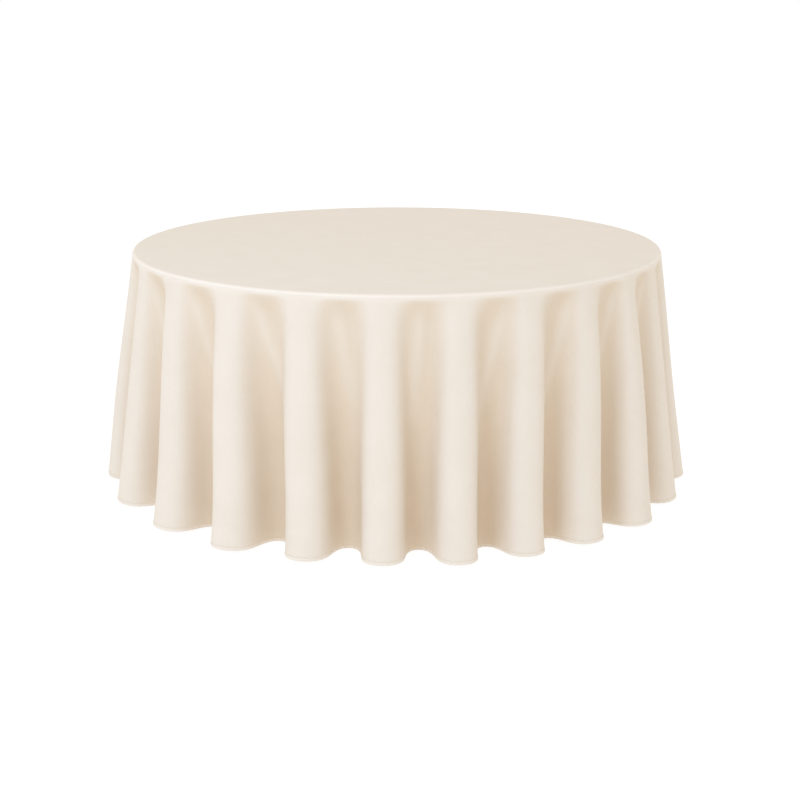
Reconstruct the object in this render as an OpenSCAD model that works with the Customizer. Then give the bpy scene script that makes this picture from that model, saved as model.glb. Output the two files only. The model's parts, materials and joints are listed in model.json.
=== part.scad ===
// Round table dressed with a floor-length round tablecloth.
// The folding table under the cloth stands on two leg sets that swing in under the top.
// Each set is held open by a brace that turns on its stretcher and slides in a runner.
// Millimetres, +Z up. The origin is on the floor under the centre of the table.

/* [Tabletop] */
// Diameter of the tabletop over its edge band
table_d = 1828.8; // [1800:0.1:1900]
// Height of the tabletop's upper face above the floor
table_h = 762; // [740:1:780]
// Thickness of the plywood disc
ply_t = 19; // [18:1:25]
// Thickness of the band around the disc
band_t = 3; // [2.5:0.5:5]
// Radius of the band's outer corners
band_round = 2.5; // [2:0.1:2.5]

/* [Tablecloth] */
// Diameter of the cloth laid flat
cloth_d = 3352.8; // [3340:0.1:3354]
// Thickness of the cloth
cloth_t = 0.8; // [0.6:0.1:1.2]
// Gap between the cloth and the table under it
cloth_gap = 0.5; // [0.4:0.1:1]
// Number of folds around the skirt
folds = 28; // [24:4:32]
// How far the folds stand out past the table's edge at the hem
flare = 176; // [120:1:190]
// Height of the hem
hem_h = 10; // [6:1:20]
// Thickness of the hem, which is three layers of cloth
hem_t = 2; // [1.6:0.1:3]
// Thickness of the hem's thread
thread_t = 0.5; // [0.3:0.1:0.8]
// Gap between the cloth, its hem and the thread
trim_gap = 0.15; // [0.1:0.05:0.3]

/* [Leg sets] */
// Distance from the table's centre to each pivot
pivot_x = 560; // [555:1:580]
// Depth of the pivot's axis below the plywood
pivot_drop = 21; // [20:1:24]
// Half the distance between the legs of the wide set
wide_y = 350; // [345:1:360]
// Half the distance between the legs of the narrow set, which folds in between the wide set's legs
narrow_y = 300; // [280:1:305]
// Outward lean of a standing leg in degrees
splay = 4.5; // [3:0.5:5]
// Diameter of the leg tubes
leg_d = 28.6; // [25:0.1:30]
// Diameter of the pivot tubes and stretchers
bar_d = 22; // [20:0.1:24]
// Wall thickness of all the tubes
tube_wall = 1.5; // [1.2:0.1:2]
// Distance along a leg from the pivot to the stretcher
stretcher_drop = 200; // [190:1:205]
// Wall of the rubber feet
foot_wall = 3; // [2:0.5:4]

/* [Braces] */
// Distance between a brace's two pivots
brace_len = 335; // [325:1:340]
// Height of the brace's flat bar
brace_w = 20; // [16:1:22]
// Thickness of the brace's flat bar
brace_t = 6; // [5:1:8]
// Diameter of the pin at the brace's upper end
glide_pin_d = 10; // [8:1:10]

/* [Fittings] */
// Thickness of the plates and channels
plate_t = 3; // [2:0.5:3]
// Thickness of a bracket's ear
ear_t = 4; // [3:0.5:5]
// Length of screw in the plywood
screw_bite = 13; // [10:1:14]
// Radial clearance of a running fit
fit_gap = 0.05; // [0.02:0.01:0.1]

/* [Hidden] */
$fn = 96;
ply_z = table_h - ply_t;
disc_r = table_d / 2 - band_t;
pivot_z = ply_z - pivot_drop;
leg_r = leg_d / 2;
bar_r = bar_d / 2;
leg_len = pivot_z / cos(splay);
foot_sole = 12;
foot_grip = 33;
stretcher_x = pivot_x + stretcher_drop * sin(splay);
stretcher_z = pivot_z - stretcher_drop * cos(splay);
brace_angle = asin((pivot_z - stretcher_z) / brace_len);
glide_x = stretcher_x - brace_len * cos(brace_angle);
folded_glide_x = pivot_x - stretcher_drop - brace_len;
glide_r = 8;
glide_w = 8;
brace_ring_w = 16;
collar_w = 6;
runner_in = 13;
runner_wall = 2.5;
runner_depth = 31;
runner_x0 = folded_glide_x - 13;
runner_x1 = glide_x + 14;
ear_y = 18;
plate_x = 35;
plate_out = 40;
stop_depth = 24;
stop_x = stop_depth * tan(splay) + leg_r / cos(splay) + 0.5;
stop_t = 3;
screw_r = 2.2;
screw_head_r = 4.5;
screw_head_h = 2.4;
bracket_screw_places = [for (x = [-24, 24], y = [14, 34]) [pivot_x + x, ear_y + ear_t + y]];
runner_screw_places = [for (i = [0.1, 0.5, 0.9]) [runner_x0 + (runner_x1 - runner_x0) * i, 0]];

// The cloth's middle surface. s is the distance down the skirt from the rim.
rim_r = table_d / 2 + cloth_gap + cloth_t / 2;
cloth_z = table_h + cloth_gap + cloth_t / 2;
skirt_len = cloth_d / 2 - rim_r;
band_s = ply_t + 5;
fold_onset = 60;
fold_steps = 8;
sum_steps = 48;
round_steps = 12;
skirt_rows = [band_s, 70, 150, 280, 450, 600, skirt_len - hem_h - trim_gap];
inner_chamfer = 1.8;
outer_chamfer = inner_chamfer + cloth_t * (2 - sqrt(2));
thread_s = skirt_len - hem_h + 2;
thread_out = hem_t + 2 * trim_gap;

// ---- Shared shapes ----

// Everything of set b is the same as in set a, turned half round the table's centre.
module set_b() rotate([0, 0, 180]) children();

// Mirrors its children across the XZ plane where side is -1.
module on_side(side) mirror([0, side < 0 ? 1 : 0, 0]) children();

// A round bar along Y, centred on y.
module bar_y(r, len, y = 0) translate([0, y, 0]) rotate([90, 0, 0]) cylinder(r = r, h = len, center = true);

// Places its children in a leg's own frame: Z runs down the leg from the pivot.
module on_leg(y) translate([pivot_x, y, pivot_z]) rotate([0, 180 - splay, 0]) children();

// Screws at the given places, with their heads under a plate on the plywood's underside.
module screws(places) for (p = places) translate([p[0], p[1], ply_z - plate_t]) {
    translate([0, 0, -screw_head_h]) cylinder(r = screw_head_r, h = screw_head_h, $fn = 32);
    cylinder(r = screw_r, h = plate_t + screw_bite, $fn = 32);
}

// The holes for those screws, in the plate and in the plywood.
module screw_holes(places) for (p = places) translate([p[0], p[1], ply_z - plate_t - 1]) {
    cylinder(r = screw_r + fit_gap, h = plate_t + 1 + screw_bite + 0.5, $fn = 32);
}

// Both sets' bracket screws: y is the half distance between a set's legs.
function bracket_places(y) = [for (side = [-1, 1], p = bracket_screw_places) [p[0], side * (y + p[1])]];

// ---- Tabletop and its fittings ----

module tabletop() color("burlywood") difference() {
    translate([0, 0, ply_z]) cylinder(r = disc_r, h = ply_t, $fn = 180);
    screw_holes(bracket_places(wide_y));
    screw_holes(runner_screw_places);
    set_b() {
        screw_holes(bracket_places(narrow_y));
        screw_holes(runner_screw_places);
    }
}

// A moulded strip with rounded outer corners.
module edge_band() color("dimgray") translate([0, 0, ply_z]) rotate_extrude($fn = 180) {
    translate([disc_r, 0]) square([band_t - band_round, ply_t]);
    translate([disc_r, band_round]) square([band_t, ply_t - 2 * band_round]);
    for (z = [band_round, ply_t - band_round]) translate([disc_r + band_t - band_round, z]) intersection() {
        circle(r = band_round, $fn = 48);
        translate([0, -band_round]) square([band_round, 2 * band_round]);
    }
}

// A plate with an ear for the pivot tube and a flange that the standing leg rests on.
module hinge_bracket(y, side) color("slategray") difference() {
    on_side(side) union() {
        translate([pivot_x - plate_x, y - leg_r + 2, ply_z - plate_t])
            cube([2 * plate_x, leg_r - 2 + ear_y + ear_t + plate_out, plate_t]);
        translate([pivot_x - bar_r - 8, y + ear_y, pivot_z])
            cube([2 * bar_r + 16, ear_t, pivot_drop - plate_t]);
        translate([pivot_x, y + ear_y + ear_t / 2, pivot_z]) bar_y(bar_r + 8, ear_t);
        translate([pivot_x + stop_x, y - leg_r + 2, pivot_z - stop_depth])
            cube([stop_t, leg_r - 2 + ear_y + ear_t, stop_depth + pivot_drop - plate_t]);
    }
    on_side(side) translate([pivot_x, y + ear_y, pivot_z]) bar_y(bar_r + fit_gap, 6 * ear_t);
    screw_holes(bracket_places(y));
}

module bracket_screws() color("silver") {
    screws(bracket_places(wide_y));
    set_b() screws(bracket_places(narrow_y));
}

// A channel open downwards. The brace's glides run between its walls.
module brace_runner() color("slategray") difference() {
    translate([runner_x0, -runner_in - runner_wall, ply_z - runner_depth])
        cube([runner_x1 - runner_x0, 2 * (runner_in + runner_wall), runner_depth]);
    translate([runner_x0 - 1, -runner_in, ply_z - runner_depth - 1])
        cube([runner_x1 - runner_x0 + 2, 2 * runner_in, runner_depth + 1 - plate_t]);
    screw_holes(runner_screw_places);
}

module runner_screws() color("silver") {
    screws(runner_screw_places);
    set_b() screws(runner_screw_places);
}

// ---- Leg sets ----

module pivot_tube(y) color("gray") translate([pivot_x, 0, pivot_z]) difference() {
    bar_y(bar_r, 2 * (y + ear_y + ear_t + 8));
    bar_y(bar_r - tube_wall, 2 * (y + ear_y + ear_t + 9));
}

module leg(y) color("gray") difference() {
    on_leg(y) translate([0, 0, 4]) difference() {
        cylinder(r = leg_r, h = leg_len - foot_sole - 4);
        translate([0, 0, -1]) cylinder(r = leg_r - tube_wall, h = leg_len);
    }
    translate([pivot_x, y, pivot_z]) bar_y(bar_r, 3 * leg_d);
    translate([stretcher_x, y - sign(y) * leg_r, stretcher_z]) bar_y(bar_r - tube_wall, leg_r);
}

module stretcher(y) color("gray") difference() {
    translate([stretcher_x, 0, stretcher_z]) difference() {
        bar_y(bar_r, 2 * y);
        bar_y(bar_r - tube_wall, 2 * y + 2);
    }
    for (side = [-1, 1]) on_leg(side * y) cylinder(r = leg_r, h = leg_len / 2);
}

// A cup on the leg's end, cut level with the floor.
module foot_cap(y) color("black") difference() {
    on_leg(y) difference() {
        translate([0, 0, leg_len - foot_sole - foot_grip])
            cylinder(r = leg_r + foot_wall, h = foot_grip + foot_sole + 5);
        translate([0, 0, leg_len - foot_sole - foot_grip - 1]) cylinder(r = leg_r, h = foot_grip + 1);
    }
    translate([pivot_x, y - 50, -40]) cube([150, 100, 40]);
}

module brace_collars() color("silver") translate([stretcher_x, 0, stretcher_z]) difference() {
    for (side = [-1, 1]) bar_y(bar_r + 4, collar_w, side * (brace_ring_w / 2 + 0.3 + collar_w / 2));
    bar_y(bar_r, 2 * brace_ring_w + 4 * collar_w);
}

// ---- Braces ----

// Places its children in the brace's own frame: X runs up the bar from the stretcher.
module on_brace() translate([stretcher_x, 0, stretcher_z]) rotate([0, 180 + brace_angle, 0]) children();

module brace() color("silver") on_brace() difference() {
    union() {
        translate([0, -brace_t / 2, -brace_w / 2]) cube([brace_len, brace_t, brace_w]);
        bar_y(bar_r + 6, brace_ring_w);
        translate([brace_len, 0, 0]) bar_y(brace_w / 2, brace_t);
    }
    bar_y(bar_r + fit_gap, 2 * brace_ring_w);
    translate([brace_len, 0, 0]) bar_y(glide_pin_d / 2, 2 * brace_t);
}

module glide_pin() color("silver") on_brace() translate([brace_len, 0, 0])
    bar_y(glide_pin_d / 2, brace_t + 2 * glide_w);

module brace_glides() color("white") on_brace() translate([brace_len, 0, 0]) difference() {
    for (side = [-1, 1]) bar_y(glide_r, glide_w, side * (brace_t + glide_w) / 2);
    bar_y(glide_pin_d / 2, brace_t + 4 * glide_w);
}

// ---- Tablecloth ----
// The cloth is cut round, so at s down the skirt it is 2 * PI * (rim_r + s) long. Hung on a smaller circle,
// that length takes the shape of a meander: its direction swings by +-swing degrees over each fold.

// Swing that makes the meander's length over its run equal to the given ratio's inverse.
function swing(ratio) = sqrt(8 * (1 - sqrt(ratio))) * 180 / PI;
function fold_len(s) = 2 * PI * (rim_r + s) / folds;
function ramp(s) = s / (s + fold_onset);

// Depth of the folds, from valley to peak, where the skirt's mean radius is r.
function fold_depth(s, r) = ramp(s) * fold_len(s) / sum_steps
    * sum([for (i = [0:sum_steps / 2 - 1]) sin(swing(min(1, r / (rim_r + s))) * sin(360 * (i + 0.5) / sum_steps))]);
function sum(v, i = 0) = i < len(v) ? v[i] + sum(v, i + 1) : 0;

// Mean radius: peaks follow a straight flare, and valleys stay outside the table's edge.
function mean_r(s, r = rim_r, i = 0) = i == round_steps ? r
    : mean_r(s, max(rim_r + flare * s / skirt_len - fold_depth(s, r) / 2, rim_r + fold_depth(s, r) / 2), i + 1);

// Point of the skirt at s, at share u of the way round, moved out by half of thickness t.
function skirt_point(s, u, t) =
    let (phase = 360 * folds * u,
         depth = s <= band_s ? 0 : fold_depth(s, mean_r(s)),
         middle = s <= band_s ? rim_r : mean_r(s),
         bend = s <= band_s ? 0 : swing(min(1, middle / (rim_r + s))) * ramp(s),
         turn = 360 * u + (s <= band_s ? 0 : lobe_widening(bend) * sin(2 * phase)),
         r = middle + depth / 2 * cos(phase),
         lean = bend * sin(phase),
         z = cloth_z - sqrt(s * s - (r - rim_r) * (r - rim_r)))
    [r * sin(turn) + t / 2 * sin(turn + lean), -r * cos(turn) - t / 2 * cos(turn + lean), z];

// Sideways shift that rounds the lobes, in degrees about the table's axis.
function lobe_widening(bend) = 360 / folds * 0.055 * pow(bend / 76, 2);

// A ring of points around the skirt at s.
function ring(s, t) = [for (i = [0:folds * fold_steps - 1]) skirt_point(s, i / (folds * fold_steps), t)];
function flat_ring(r, z) = [for (i = [0:folds * fold_steps - 1])
    let (a = 360 * i / (folds * fold_steps)) [r * sin(a), -r * cos(a), z]];

// Closed solid through rings of equal length, down the outside and back up the inside. The first and last
// rings are capped, or joined if closed. The inside's quads are split along the same diagonal as the outside's,
// so that the two walls stay parallel where a fold twists.
module loft(rings, closed) {
    n = len(rings[0]);
    m = len(rings);
    side_faces = [for (j = [0:m - (closed ? 1 : 2)], i = [0:n - 1])
        let (a = j * n + i, b = j * n + (i + 1) % n, c = ((j + 1) % m) * n + (i + 1) % n, d = ((j + 1) % m) * n + i)
        each j < m / 2 ? [[a, b, c], [a, c, d]] : [[a, b, d], [b, c, d]]];
    caps = closed ? [] : [[for (i = [n - 1:-1:0]) i], [for (i = [0:n - 1]) (m - 1) * n + i]];
    polyhedron(points = [for (r = rings) each r], faces = concat(side_faces, caps), convexity = 20);
}

// Flat over the tabletop, chamfered at its rim, then down the folds' outside and back up their inside.
module cloth() color("ivory") loft(concat(
    [flat_ring(rim_r + cloth_t / 2 - outer_chamfer, cloth_z + cloth_t / 2),
     flat_ring(rim_r + cloth_t / 2, cloth_z + cloth_t / 2 - outer_chamfer)],
    [for (s = skirt_rows) ring(s, cloth_t)],
    [for (k = [len(skirt_rows) - 1:-1:0]) ring(skirt_rows[k], -cloth_t)],
    [flat_ring(rim_r - cloth_t / 2, cloth_z - cloth_t / 2 - inner_chamfer),
     flat_ring(rim_r - cloth_t / 2 - inner_chamfer, cloth_z - cloth_t / 2)]), false);

module hem() color("ivory") loft([
    ring(skirt_len - hem_h, hem_t), ring(skirt_len, hem_t),
    ring(skirt_len, -hem_t), ring(skirt_len - hem_h, -hem_t)], true);

module hem_thread() color("oldlace") loft([
    ring(thread_s, thread_out + 2 * thread_t), ring(thread_s + thread_t, thread_out + 2 * thread_t),
    ring(thread_s + thread_t, thread_out), ring(thread_s, thread_out)], true);

tabletop();
edge_band();
hinge_bracket(wide_y, -1);  // hinge_bracket_1
hinge_bracket(wide_y, 1);  // hinge_bracket_2
set_b() hinge_bracket(narrow_y, -1);  // hinge_bracket_3
set_b() hinge_bracket(narrow_y, 1);  // hinge_bracket_4
bracket_screws();
brace_runner();  // brace_runner_a
set_b() brace_runner();  // brace_runner_b
runner_screws();
pivot_tube(wide_y);  // pivot_tube_a
leg(-wide_y);  // leg_a_left
leg(wide_y);  // leg_a_right
stretcher(wide_y);  // stretcher_a
brace_collars();  // brace_collars_a
foot_cap(-wide_y);  // foot_cap_a_left
foot_cap(wide_y);  // foot_cap_a_right
set_b() pivot_tube(narrow_y);  // pivot_tube_b
set_b() leg(-narrow_y);  // leg_b_left
set_b() leg(narrow_y);  // leg_b_right
set_b() stretcher(narrow_y);  // stretcher_b
set_b() brace_collars();  // brace_collars_b
set_b() foot_cap(-narrow_y);  // foot_cap_b_left
set_b() foot_cap(narrow_y);  // foot_cap_b_right
brace();  // brace_a
glide_pin();  // glide_pin_a
brace_glides();  // brace_glides_a
set_b() brace();  // brace_b
set_b() glide_pin();  // glide_pin_b
set_b() brace_glides();  // brace_glides_b
cloth();
hem();
hem_thread();
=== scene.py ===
"""Looks for a round table dressed with a floor-length round tablecloth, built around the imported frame."""

import json
import math

import bpy
import numpy as np
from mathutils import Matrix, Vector


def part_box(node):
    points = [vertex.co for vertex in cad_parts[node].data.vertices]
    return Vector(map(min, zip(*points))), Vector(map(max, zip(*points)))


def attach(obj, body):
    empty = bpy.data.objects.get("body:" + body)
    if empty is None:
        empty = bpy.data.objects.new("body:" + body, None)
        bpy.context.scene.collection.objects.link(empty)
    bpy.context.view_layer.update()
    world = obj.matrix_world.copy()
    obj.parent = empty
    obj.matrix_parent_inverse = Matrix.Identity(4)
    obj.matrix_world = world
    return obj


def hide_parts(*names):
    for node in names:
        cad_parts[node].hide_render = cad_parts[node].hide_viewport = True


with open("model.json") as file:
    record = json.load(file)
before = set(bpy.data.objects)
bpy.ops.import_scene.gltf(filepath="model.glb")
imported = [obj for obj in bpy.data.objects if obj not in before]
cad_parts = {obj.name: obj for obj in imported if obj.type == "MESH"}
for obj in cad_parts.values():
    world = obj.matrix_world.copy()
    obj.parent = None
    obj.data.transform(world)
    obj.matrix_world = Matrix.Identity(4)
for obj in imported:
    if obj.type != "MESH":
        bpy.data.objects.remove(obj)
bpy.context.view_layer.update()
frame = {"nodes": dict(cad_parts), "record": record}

# ---------------------------------------------------------------- driving dimensions, in metres
EDGE_GAP = 0.0036                              # the cloth's bend over the rim holds it this far off the edge
RIM_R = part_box("edge_band")[1].x + EDGE_GAP    # middle of the cloth where it hangs from the table's edge
TOP_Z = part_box("tabletop")[1].z + 0.0009       # middle of the cloth on the tabletop
CLOTH_D = 3.3528                               # the cloth laid flat
CLOTH_T = 0.0007
SKIRT = CLOTH_D / 2 - RIM_R                    # length of cloth from the rim to the hem
RIM_ROUND = 0.009                              # radius of the cloth's bend over the table's edge
HEM_H = 0.009
HEM_T = 0.0020
FOLD_SHADE_TINT = (0.92, 0.845, 0.745)               # painted shade: the cloth's colour deep in a fold, over its colour outside, darker and warmer in place of the shade between folds
HIGHLIGHT_TINT = (1.11, 1.13, 1.17)                  # painted highlight: the cloth's colour, lighter, where it bends over the table's edge, just under it and on the hem

# ---------------------------------------------------------------- folds
# The folds that face the camera widen quickly from the left and narrow slowly to the right: their widths at
# the rim, in degrees, are FRONT_LEAST plus waves of one, two and three half-turns across the front. The first
# starts at FRONT_START, measured from -Y towards +X. The other folds share what is left of the circle.
FRONT_START = -81.3
FRONT_FOLDS = 12
FRONT_LEAST = 10.5
FRONT_WAVES = (4.4, 1.2, 1.0)
FOLDS = 28
FLARE = 0.174                                  # how far the folds stand out at the hem, at the front and back
FLARE_QUARTER = 0.027                          # extra between front and side
FLARE_SIDE = 0.113                             # at the sides
COMB = 0.073                                   # turn of the folds to front and back at the hem, in radians
BIAS = 0.75                                    # share of the flare that lifts the hem: cloth gives on the bias
FOLD_FROM, FOLD_FULL = 0.006, 0.110            # the folds start under the edge, and are whole a little lower
SQUARE_TOP, SQUARE_HEM = 0.9, 0.15             # how square-shouldered the folds are
PINCH_TOP, PINCH_HEM = -0.12, 0.24             # how much narrower the valleys are than the lobes
PINCH_END = 0.7                                # share of the skirt over which the valleys widen
CREASE = 0.009                                 # height of the soft slanted crease in each valley
COLUMNS_PER_FOLD = 22
SKIRT_ROWS = 60
RIM_ROWS = 8
TOP_RINGS = (0.15, 0.3, 0.45, 0.6, 0.74, 0.86, 0.94, 0.98, 0.993, 1.0)


def fold_widths():
    """Angular width of each fold at the rim, in radians, going round from FRONT_START."""
    across = (np.arange(FRONT_FOLDS) + 0.5) / FRONT_FOLDS
    front = FRONT_LEAST + sum(wave * np.sin(math.pi * (k + 1) * across) for k, wave in enumerate(FRONT_WAVES))
    rest = (360 - front.sum()) / (FOLDS - FRONT_FOLDS)
    back = rest + 0.9 * np.sin(2.4 * np.arange(FOLDS - FRONT_FOLDS) + 0.5)
    widths = np.concatenate([front, back])
    return np.radians(widths * 360 / widths.sum())


def smooth(x):
    x = np.clip(x, 0, 1)
    return x * x * (3 - 2 * x)


class Drape:
    """The cloth's middle surface. A fold's cross-section is a meander: its direction swings to and fro by an
    angle that grows down the skirt, so that every row is as long as the round cloth is there."""

    STEPS = 480
    SWINGS = np.linspace(0, 1.9, 77)

    def __init__(self):
        self.width = fold_widths()
        self.start = np.radians(FRONT_START) + np.concatenate([[0], np.cumsum(self.width)[:-1]])
        self.centre = self.start + self.width / 2
        self.share = np.concatenate([[0], np.cumsum(self.width)]) / (2 * math.pi)

    def meanders(self, square, pinch):
        """Run and rise, step by step, of a fold 1 long, for each of SWINGS."""
        phase = 2 * math.pi * (np.arange(self.STEPS) + 0.5) / self.STEPS
        wave = np.sin(phase + pinch * np.sin(phase))
        angle = self.SWINGS[:, None] * np.sign(wave) * np.abs(wave) ** (1 + square)
        run, rise = (np.cumsum(f(angle), 1) / self.STEPS for f in (np.cos, np.sin))
        zero = np.zeros((len(self.SWINGS), 1))
        return np.hstack([zero, run]), np.hstack([zero, rise])

    def row(self, s):
        """At s down the skirt: each fold's valley radius, depth and place among SWINGS, then the meanders."""
        t = s / SKIRT
        square = SQUARE_HEM + (SQUARE_TOP - SQUARE_HEM) * (1 - t) ** 1.2
        pinch = PINCH_HEM + (PINCH_TOP - PINCH_HEM) * (1 - smooth(t / PINCH_END))
        run, rise = self.meanders(square, pinch)
        ends, tops, places = run[:, -1], rise.max(1), np.arange(len(self.SWINGS))
        peak = RIM_R + self.flare(self.centre) * t
        length = (RIM_R + s) * self.width
        begun = float(np.clip((s - FOLD_FROM) / (FOLD_FULL - FOLD_FROM), 0, 1))
        grown = (1 - (1 - begun) ** 2.4) * float(smooth(7 * begun))
        middle = np.full(FOLDS, RIM_R)
        for _ in range(30):
            ratio = np.clip(middle * self.width / length, 0.2, 1)
            place = np.interp(-ratio, -ends, places) * grown
            depth = length * np.interp(place, places, tops)
            middle = 0.5 * middle + 0.5 * (peak - depth / 2)
        return peak - depth, depth, place, run, rise

    def flare(self, theta):
        quarter, side = np.sin(2 * theta) ** 2, np.sin(theta) ** 6
        return FLARE + FLARE_QUARTER * quarter + (FLARE_SIDE - FLARE) * side

    def points(self, s, u):
        """Points of the row at s for shares u of the way round, as an array of x, y, z. u is a share of the
        cloth's own length, from FRONT_START."""
        valley, depth, place, run, rise = self.row(s)
        k = np.clip(np.searchsorted(self.share, u, side="right") - 1, 0, FOLDS - 1)
        q = (u - self.share[k]) / (self.share[k + 1] - self.share[k])
        low = np.floor(place[k]).astype(int)
        part = place[k] - low
        high = np.minimum(low + 1, len(run) - 1)
        step = np.minimum((q * self.STEPS).astype(int), self.STEPS - 1)
        past = q * self.STEPS - step

        def between(a, b):
            return a * (1 - part) + b * part

        def pick(table):
            return between(table[low, step] * (1 - past) + table[low, step + 1] * past,
                           table[high, step] * (1 - past) + table[high, step + 1] * past)

        tops = rise.max(1)
        up = pick(rise) / np.maximum(between(tops[low], tops[high]), 1e-9)
        theta = self.start[k] + self.width[k] * pick(run) / between(run[low, -1], run[high, -1])
        turn = 2 * math.pi
        around = np.concatenate([self.centre - turn, self.centre, self.centre + turn])
        r = np.interp(theta, around, np.tile(valley, 3)) + np.interp(theta, around, np.tile(depth, 3)) * up
        theta = theta + self.comb(theta, s)
        r = r + self.wander(k, q, s / SKIRT)
        hang = np.sqrt(np.maximum(s * s - (BIAS * (r - RIM_R)) ** 2, 0))
        # painted shade: most in the middle of each valley and more down the skirt, none on the crests, fading
        # in just under the edge, and half as much on the slanted crease
        self.inside = (1 - up) * min(1.0, 0.78 + 0.40 * s / SKIRT) * smooth((s - 0.007) / 0.020)
        self.inside = self.inside * (1 - 0.5 * self.crease)
        return np.stack([r * np.sin(theta), -r * np.cos(theta), TOP_Z - hang], -1)

    def comb(self, theta, s):
        """Turns the folds a little towards the front or back on their way down, in radians."""
        lean = -COMB * np.sin(2 * theta) * (1 + np.sin(theta) ** 2)
        return lean * smooth(s / SKIRT * 0.9 + 0.05)

    def wander(self, k, q, t):
        """Small differences between folds, in metres, none of them at the rim."""
        lift = 0.006 * np.sin(k * 2.17 + 1.0) + 0.004 * np.sin(k * 4.9 + 3.0 * t)
        lift = lift * smooth(t * 1.4) * np.sin(math.pi * q) ** 2
        # a soft crease that crosses each valley at a slant, down towards the front
        far = (q >= 0.5).astype(int)
        valley = (k + far) % FOLDS
        lean = np.clip(-2.5 * np.sin(self.start[valley]), -1, 1)
        ridge_at = lean * min(0.85 * t - 0.21, 0.2) + 0.03 * np.sin(valley * 1.7 + 0.8)
        fade = (1 + 0.3 * np.sin(valley * 3.1 + 0.4)) * smooth((t - 0.02) * 8) * (1 - smooth(t * 1.2))
        self.crease = fade * np.exp(-((q - far - ridge_at) / 0.085) ** 2)
        return lift + CREASE * self.crease

    def frame_at(self, s, u):
        """Point, outward normal and down direction at s for shares u."""
        step = 1e-4
        here = self.points(s, u)
        around = self.points(s, (u + step) % 1.0) - self.points(s, (u - step) % 1.0)
        down = here - self.points(s - 0.003, u)
        around /= np.linalg.norm(around, axis=1, keepdims=True)
        down /= np.linalg.norm(down, axis=1, keepdims=True)
        normal = np.cross(down, around)
        normal /= np.linalg.norm(normal, axis=1, keepdims=True)
        return here, normal, down


DRAPE = Drape()


# ---------------------------------------------------------------- mesh helpers
def new_object(name, points, faces, smooth_shade=True):
    mesh = bpy.data.meshes.new(name)
    mesh.from_pydata([tuple(p) for p in points], [], faces)
    mesh.validate()
    mesh.update()
    if smooth_shade:
        mesh.polygons.foreach_set("use_smooth", [True] * len(mesh.polygons))
    obj = bpy.data.objects.new(name, mesh)
    bpy.context.scene.collection.objects.link(obj)
    return obj


def grid_faces(rows, columns, first=0, wrap_rows=False):
    """Quads between rings of equal length that close on themselves."""
    faces = []
    for j in range(rows if wrap_rows else rows - 1):
        a, b = first + j * columns, first + (j + 1) % rows * columns
        for i in range(columns):
            n = (i + 1) % columns
            faces.append((a + i, b + i, b + n, a + n))
    return faces


def apply_modifiers(obj):
    graph = bpy.context.evaluated_depsgraph_get()
    mesh = bpy.data.meshes.new_from_object(obj.evaluated_get(graph), depsgraph=graph)
    obj.modifiers.clear()
    obj.data = mesh


# ---------------------------------------------------------------- cloth
def build_cloth():
    columns = FOLDS * COLUMNS_PER_FOLD
    u = np.arange(columns) / columns
    theta = np.interp(u, DRAPE.share, np.append(DRAPE.start, DRAPE.start[0] + 2 * math.pi))
    around = np.stack([np.sin(theta), -np.cos(theta), 0 * theta], -1)
    rings, flat, inside, highlight_share = [], [], [], []
    for share in TOP_RINGS:
        r = (RIM_R - RIM_ROUND) * share
        rings.append(around * r + [0, 0, TOP_Z])
        flat.append(around * r)
        highlight_share.append(0 * u)
    for j in range(1, RIM_ROWS):
        a = j / RIM_ROWS * math.pi / 2
        r = RIM_R - RIM_ROUND + RIM_ROUND * math.sin(a)
        rings.append(around * r + [0, 0, TOP_Z - RIM_ROUND + RIM_ROUND * math.cos(a)])
        flat.append(around * (RIM_R - RIM_ROUND + RIM_ROUND * a))
        # painted highlight, growing as the cloth turns over the table's edge
        highlight_share.append(0 * u + math.sin(a))
    for j in range(SKIRT_ROWS + 1):
        s = RIM_ROUND + (SKIRT - RIM_ROUND) * (j / SKIRT_ROWS) ** 1.35
        rings.append(DRAPE.points(s, u))
        flat.append(around * (RIM_R + s))
        inside.append(DRAPE.inside)
        # painted highlight, half as strong just under the edge and gone 3 cm down
        highlight_share.append(0 * u + 0.5 * float(smooth(1 - s / 0.03)))
    points = np.concatenate([[[0, 0, TOP_Z]], *rings])
    faces = [(0, 1 + i, 1 + (i + 1) % columns) for i in range(columns)]
    faces += grid_faces(len(rings), columns, first=1)
    obj = new_object("tablecloth_cloth", points, faces)
    laid = obj.data.attributes.new("laid_flat", "FLOAT_VECTOR", "POINT")
    laid.data.foreach_set("vector", np.concatenate([[[0, 0, 0]], *flat]).astype(np.float32).ravel())
    # painted shade of the folds on the skirt's points; none on the top and the bend
    depth = np.zeros(len(points), np.float32)
    depth[-columns * len(inside):] = np.concatenate(inside)
    obj.data.attributes.new("painted_fold_shade", "FLOAT", "POINT").data.foreach_set("value", depth)
    painted_highlight = np.concatenate([[0], *highlight_share]).astype(np.float32)
    obj.data.attributes.new("painted_highlight", "FLOAT", "POINT").data.foreach_set("value", painted_highlight)
    thick = obj.modifiers.new("thickness", "SOLIDIFY")
    thick.thickness = CLOTH_T
    thick.offset = 0
    apply_modifiers(obj)
    # the painted shade of the folds goes on the outer face only: the cloth's inner face is plain
    count, wall = len(points), obj.data.vertices
    inner = 0 if wall[0].co.z < wall[count].co.z else count
    depth = np.tile(depth, 2)
    depth[inner:inner + count] = 0
    obj.data.attributes["painted_fold_shade"].data.foreach_set("value", depth)
    return obj


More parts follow.
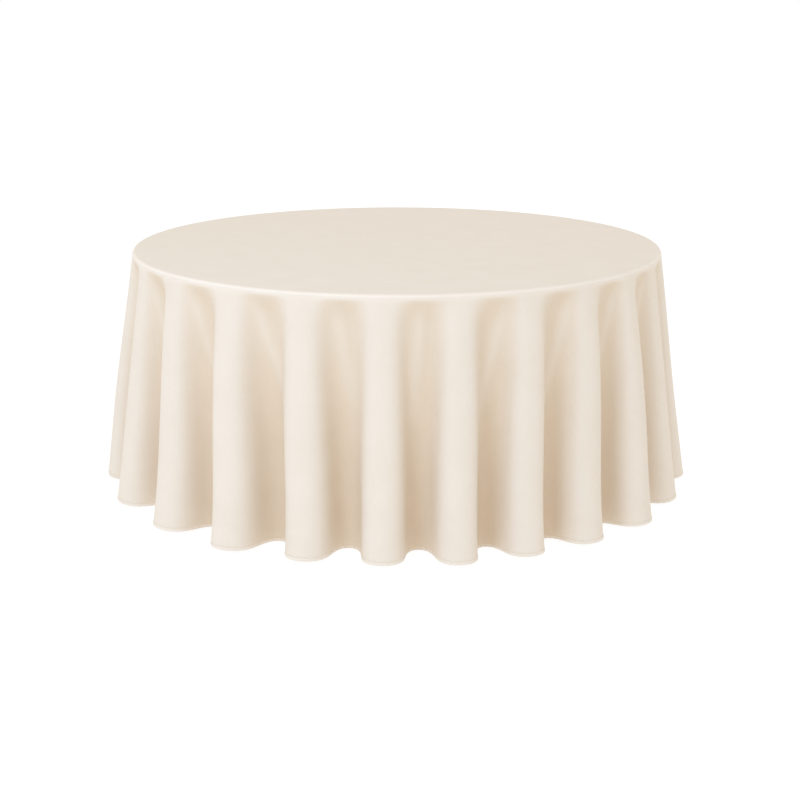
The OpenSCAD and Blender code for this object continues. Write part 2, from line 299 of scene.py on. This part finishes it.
def build_hem():
    """A flat tube round the cloth's edge: the cloth turned up twice."""
    columns = FOLDS * 36
    u = np.arange(columns) / columns
    here, normal, down = DRAPE.frame_at(SKIRT, u)
    sides = 12
    rings = []
    for i in range(sides):
        a = 2 * math.pi * i / sides
        along = 0.5 * HEM_H * np.sign(math.cos(a)) * abs(math.cos(a)) ** 0.5
        across = 0.5 * HEM_T * np.sign(math.sin(a)) * abs(math.sin(a)) ** 0.8
        rings.append(here + down * (along - 0.5 * HEM_H) + normal * across)
    obj = new_object("tablecloth_hem", np.concatenate(rings), grid_faces(sides, columns, wrap_rows=True))
    laid = obj.data.attributes.new("laid_flat", "FLOAT_VECTOR", "POINT")
    ring = np.stack([np.sin(u * 2 * math.pi), -np.cos(u * 2 * math.pi), 0 * u], -1) * CLOTH_D / 2
    laid.data.foreach_set("vector", np.concatenate([ring] * sides).astype(np.float32).ravel())
    # painted shade of the folds on the hem, 0.7 as strong, and a weak painted highlight over the whole hem
    DRAPE.points(SKIRT, u)
    depth = np.concatenate([DRAPE.inside] * sides).astype(np.float32)
    obj.data.attributes.new("painted_fold_shade", "FLOAT", "POINT").data.foreach_set("value", 0.7 * depth)
    highlight_share = np.full(len(depth), 0.2, np.float32)
    obj.data.attributes.new("painted_highlight", "FLOAT", "POINT").data.foreach_set("value", highlight_share)
    return obj


def build_stitches():
    """Lock stitches along the hem, each a short rounded thread that dips into the cloth at both ends."""
    pitch, length, radius = 0.0040, 0.0031, 0.00042
    count = int(2 * math.pi * CLOTH_D / 2 / pitch)
    u = (np.arange(count) + 0.5) / count
    here, normal, down = DRAPE.frame_at(SKIRT, u)
    along = np.cross(normal, down)
    middle = here - down * (HEM_H - 0.0022) + normal * (HEM_T / 2)
    profile = ((-0.5, 0.35, -0.25), (-0.25, 1.0, 0.25), (0.25, 1.0, 0.25), (0.5, 0.35, -0.25))
    sides = 6
    rings = []
    for place, size, rise in profile:
        for i in range(sides):
            a = 2 * math.pi * i / sides
            rings.append(middle + along * (place * length) + normal * radius * (rise + size * math.cos(a))
                         + down * radius * size * math.sin(a))
    points = np.stack(rings, 1).reshape(-1, 3)
    faces = []
    per = sides * len(profile)
    for n in range(count):
        base = n * per
        for j in range(len(profile) - 1):
            for i in range(sides):
                a, b, k = base + j * sides, base + (j + 1) * sides, (i + 1) % sides
                faces.append((a + i, a + k, b + k, b + i))
        faces.append(tuple(base + i for i in range(sides - 1, -1, -1)))
        faces.append(tuple(base + (len(profile) - 1) * sides + i for i in range(sides)))
    return new_object("tablecloth_hem_stitches", points, faces)


# ---------------------------------------------------------------- materials
class Nodes:
    """A material's node tree, with one short call for each node."""

    def __init__(self, name):
        self.material = bpy.data.materials.new(name)
        self.material.use_nodes = True
        self.tree = self.material.node_tree
        self.shader = self.tree.nodes["Principled BSDF"]

    def add(self, kind, **values):
        node = self.tree.nodes.new(kind)
        for key, value in values.items():
            if key in node.inputs:
                node.inputs[key].default_value = value
            else:
                setattr(node, key, value)
        return node

    def link(self, source, target):
        self.tree.links.new(source, target)
        return target

    def set(self, **values):
        for key, value in values.items():
            self.shader.inputs[key.replace("_", " ")].default_value = value

    def noise(self, vector, scale, detail=3.0, roughness=0.5):
        node = self.add("ShaderNodeTexNoise", Scale=scale, Detail=detail, Roughness=roughness)
        self.link(vector, node.inputs["Vector"])
        return node.outputs["Fac"]

    def ramp(self, source, low, high, at=(0.3, 0.7)):
        node = self.add("ShaderNodeValToRGB")
        first, last = node.color_ramp.elements
        first.position, last.position = at
        first.color, last.color = (*low, 1), (*high, 1)
        self.link(source, node.inputs["Fac"])
        return node.outputs["Color"]

    def tint(self, source, colour, share):
        node = self.add("ShaderNodeMix", data_type="RGBA", blend_type="MULTIPLY")
        self.link(share, node.inputs["Factor"])
        self.link(source, node.inputs["A"])
        node.inputs["B"].default_value = (*colour, 1)
        return node.outputs["Result"]

    def bump(self, source, distance, strength=1.0, after=None):
        node = self.add("ShaderNodeBump", Distance=distance, Strength=strength)
        self.link(source, node.inputs["Height"])
        if after:
            self.link(after, node.inputs["Normal"])
        return node.outputs["Normal"]

    def math(self, operation, a, b=None):
        node = self.add("ShaderNodeMath")
        node.operation = operation
        for value, socket in ((a, node.inputs[0]), (b, node.inputs[1])):
            if value is None:
                continue
            if isinstance(value, (int, float)):
                socket.default_value = value
            else:
                self.link(value, socket)
        return node.outputs[0]


def cloth_material(name, dark, light, weave=0.00055):
    """Plain-woven polyester: threads both ways, slubs, a soft mottle and sheen, with painted shade in the
    folds and a painted highlight over the table's edge and the hem.
    """
    n = Nodes(name)
    flat = n.add("ShaderNodeAttribute", attribute_name="laid_flat").outputs["Vector"]
    parts = n.add("ShaderNodeSeparateXYZ")
    n.link(flat, parts.inputs[0])
    threads = []
    for axis in ("X", "Y"):
        wave = n.math("SINE", n.math("MULTIPLY", parts.outputs[axis], 2 * math.pi / weave))
        threads.append(wave)
    woven = n.math("MULTIPLY", threads[0], threads[1])
    mottle = n.noise(flat, 9, 5, 0.6)
    grain = n.noise(flat, 210, 3, 0.6)
    stretch = n.add("ShaderNodeVectorMath")
    stretch.operation = "MULTIPLY"
    stretch.inputs[1].default_value = (260, 18, 1)
    n.link(flat, stretch.inputs[0])
    slub = n.noise(stretch.outputs[0], 1.0, 2, 0.5)
    tone = n.math("ADD", n.math("MULTIPLY", mottle, 0.40),
                  n.math("ADD", n.math("MULTIPLY", grain, 0.45), n.math("MULTIPLY", slub, 0.15)))
    colour = n.ramp(tone, dark, light, at=(0.35, 0.65))
    # painted shade and painted highlight: the colour multiplied darker and warmer in the folds, lighter over
    # the table's edge and the hem
    for attribute, tint, low in (("painted_fold_shade", FOLD_SHADE_TINT, 0.15), ("painted_highlight", HIGHLIGHT_TINT, 0.0)):
        where = n.add("ShaderNodeAttribute", attribute_name=attribute).outputs["Fac"]
        colour = n.tint(colour, tint, n.ramp(where, (0, 0, 0), (1, 1, 1), at=(low, 1.0)))
    n.link(colour, n.shader.inputs["Base Color"])
    n.link(n.math("ADD", 0.80, n.math("MULTIPLY", grain, 0.12)), n.shader.inputs["Roughness"])
    soft = n.bump(n.noise(flat, 28, 3, 0.5), 0.0004, 0.25)
    threads_bump = n.bump(n.math("ADD", woven, n.math("MULTIPLY", slub, 1.5)), 0.00012, 0.35, after=soft)
    n.link(threads_bump, n.shader.inputs["Normal"])
    n.set(Sheen_Weight=0.06, Sheen_Roughness=0.5, Specular_IOR_Level=0.08)
    n.shader.inputs["Sheen Tint"].default_value = (1.0, 0.97, 0.92, 1)
    return n.material


def thread_material():
    n = Nodes("thread")
    where = n.add("ShaderNodeTexCoord").outputs["Object"]
    twist = n.noise(where, 1500, 1)
    n.link(n.ramp(twist, (0.84, 0.76, 0.66), (0.95, 0.89, 0.80)), n.shader.inputs["Base Color"])
    n.link(n.bump(twist, 0.0001, 0.5), n.shader.inputs["Normal"])
    n.set(Roughness=0.5, Sheen_Weight=0.3)
    return n.material


def plywood_material():
    """Lacquered birch: long grain on the faces, thin plies on the edge."""
    n = Nodes("plywood")
    where = n.add("ShaderNodeTexCoord").outputs["Object"]
    stretch = n.add("ShaderNodeVectorMath")
    stretch.operation = "MULTIPLY"
    stretch.inputs[1].default_value = (2.2, 34, 380)
    n.link(where, stretch.inputs[0])
    grain = n.noise(stretch.outputs[0], 1.0, 6, 0.62)
    pores = n.noise(stretch.outputs[0], 6.0, 3, 0.5)
    tone = n.math("ADD", n.math("MULTIPLY", grain, 0.75), n.math("MULTIPLY", pores, 0.25))
    n.link(n.ramp(tone, (0.42, 0.27, 0.14), (0.74, 0.56, 0.35)), n.shader.inputs["Base Color"])
    n.link(n.math("ADD", 0.34, n.math("MULTIPLY", pores, 0.25)), n.shader.inputs["Roughness"])
    n.link(n.bump(tone, 0.0006, 0.3), n.shader.inputs["Normal"])
    n.set(Coat_Weight=0.25, Coat_Roughness=0.25)
    return n.material


def metal_material(name, dark, light, metallic, rough, texture, height):
    """Painted or plated steel: texture is the scale of the coat's own relief."""
    n = Nodes(name)
    where = n.add("ShaderNodeTexCoord").outputs["Object"]
    relief = n.noise(where, texture, 2)
    wear = n.noise(where, 14, 5, 0.6)
    n.link(n.ramp(wear, dark, light), n.shader.inputs["Base Color"])
    n.link(n.math("ADD", rough, n.math("MULTIPLY", wear, 0.2)), n.shader.inputs["Roughness"])
    n.link(n.bump(relief, height, 0.6), n.shader.inputs["Normal"])
    n.set(Metallic=metallic)
    return n.material


def moulded_material(name, dark, light, rough):
    """Moulded rubber, vinyl or nylon with a fine grain."""
    n = Nodes(name)
    where = n.add("ShaderNodeTexCoord").outputs["Object"]
    grain = n.noise(where, 900, 2)
    n.link(n.ramp(n.noise(where, 30, 4), dark, light), n.shader.inputs["Base Color"])
    n.link(n.math("ADD", rough, n.math("MULTIPLY", grain, 0.15)), n.shader.inputs["Roughness"])
    n.link(n.bump(grain, 0.00015, 0.5), n.shader.inputs["Normal"])
    return n.material


def dress_nodes():
    """Gives every CAD node that stays in view the material of its slot."""
    made = {
        "plywood": plywood_material(),
        "band": moulded_material("vinyl_band", (0.035, 0.028, 0.024), (0.06, 0.05, 0.042), 0.45),
        "painted_fitting": metal_material("powder_coat", (0.035, 0.035, 0.038), (0.06, 0.06, 0.063),
                                          0, 0.4, 1400, 0.0001),
        "leg_paint": metal_material("hammered_paint", (0.075, 0.077, 0.08), (0.13, 0.13, 0.135),
                                    0.3, 0.32, 260, 0.0004),
        "zinc": metal_material("zinc_plate", (0.50, 0.51, 0.52), (0.68, 0.69, 0.70), 1, 0.3, 700, 0.00005),
        "screw": metal_material("screw_zinc", (0.46, 0.46, 0.46), (0.66, 0.66, 0.65), 1, 0.25, 1200, 0.00004),
        "rubber_foot": moulded_material("foot_rubber", (0.012, 0.012, 0.012), (0.03, 0.03, 0.03), 0.75),
        "nylon": moulded_material("nylon", (0.68, 0.68, 0.65), (0.80, 0.80, 0.77), 0.4),
    }
    slots = {row["node"]: row["material_slot"] for row in frame["record"]["subparts"]}
    for name, obj in frame["nodes"].items():
        material = made.get(slots[name])
        if material is None:
            continue
        if not obj.material_slots:
            obj.data.materials.append(material)
        for place in obj.material_slots:
            place.material = material


# ---------------------------------------------------------------- stage
def build_floor():
    """Plain white floor that glows a little, so that it stays as pale as the studio's surroundings."""
    plane = [(-200, -60, 0), (200, -60, 0), (200, 900, 0), (-200, 900, 0)]
    floor = new_object("studio_floor", plane, [(0, 1, 2, 3)])
    n = Nodes("floor")
    where = n.add("ShaderNodeTexCoord").outputs["Object"]
    paint = n.ramp(n.noise(where, 3, 2), (0.13, 0.13, 0.13), (0.15, 0.15, 0.15))
    n.link(paint, n.shader.inputs["Base Color"])
    n.set(Roughness=0.9, Specular_IOR_Level=0.0, Emission_Strength=0.92)
    n.shader.inputs["Emission Color"].default_value = (1, 1, 1, 1)
    floor.data.materials.append(n.material)
    floor.location.z = -0.0005


def area_light(name, place, target, size, power, color=(1, 1, 1)):
    data = bpy.data.lights.new(name, "AREA")
    data.shape = "DISK"
    data.size = size
    data.energy = power
    data.color = color
    light = bpy.data.objects.new(name, data)
    light.location = place
    light.rotation_euler = (Vector(target) - Vector(place)).to_track_quat("-Z", "Y").to_euler()
    bpy.context.scene.collection.objects.link(light)


def build_lights():
    world = bpy.data.worlds.new("studio")
    world.use_nodes = True
    world.node_tree.nodes["Background"].inputs["Color"].default_value = (1, 1, 1, 1)
    world.node_tree.nodes["Background"].inputs["Strength"].default_value = 1.0
    bpy.context.scene.world = world
    area_light("key", (-2.0, -3.8, 2.5), (0, -0.6, 0.4), 1.6, 48, (0.55, 0.72, 1.0))


def build_camera():
    """Camera at the viewing angle, in table radii: back from the centre, up from the floor, tilted down."""
    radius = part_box("edge_band")[1].x
    back, up, tilt = 4.456, 1.560, 17.09
    data = bpy.data.cameras.new("camera")
    data.lens = 51.75
    data.sensor_width = 36
    data.shift_x = 0.0041
    data.clip_end = 2000
    camera = bpy.data.objects.new("camera", data)
    camera.location = (0, -back * radius, up * radius)
    camera.rotation_euler = (math.radians(90 - tilt), 0, 0)
    bpy.context.scene.collection.objects.link(camera)
    bpy.context.scene.camera = camera
    bpy.context.scene.view_settings.view_transform = "Standard"


# ---------------------------------------------------------------- the scene
build_camera()
build_lights()
build_floor()
dress_nodes()

ivory = cloth_material("ivory_cloth", (0.745, 0.66, 0.556), (0.782, 0.702, 0.604))
cloth = build_cloth()
hem = build_hem()
stitches = build_stitches()
cloth.data.materials.append(ivory)
hem.data.materials.append(ivory)
stitches.data.materials.append(thread_material())
dressed = ((cloth, "cloth", "cloth"), (hem, "hem", "cloth"), (stitches, "hem_thread", "thread"))
for piece, node, slot in dressed:
    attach(piece, "tablecloth")
    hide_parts(node)
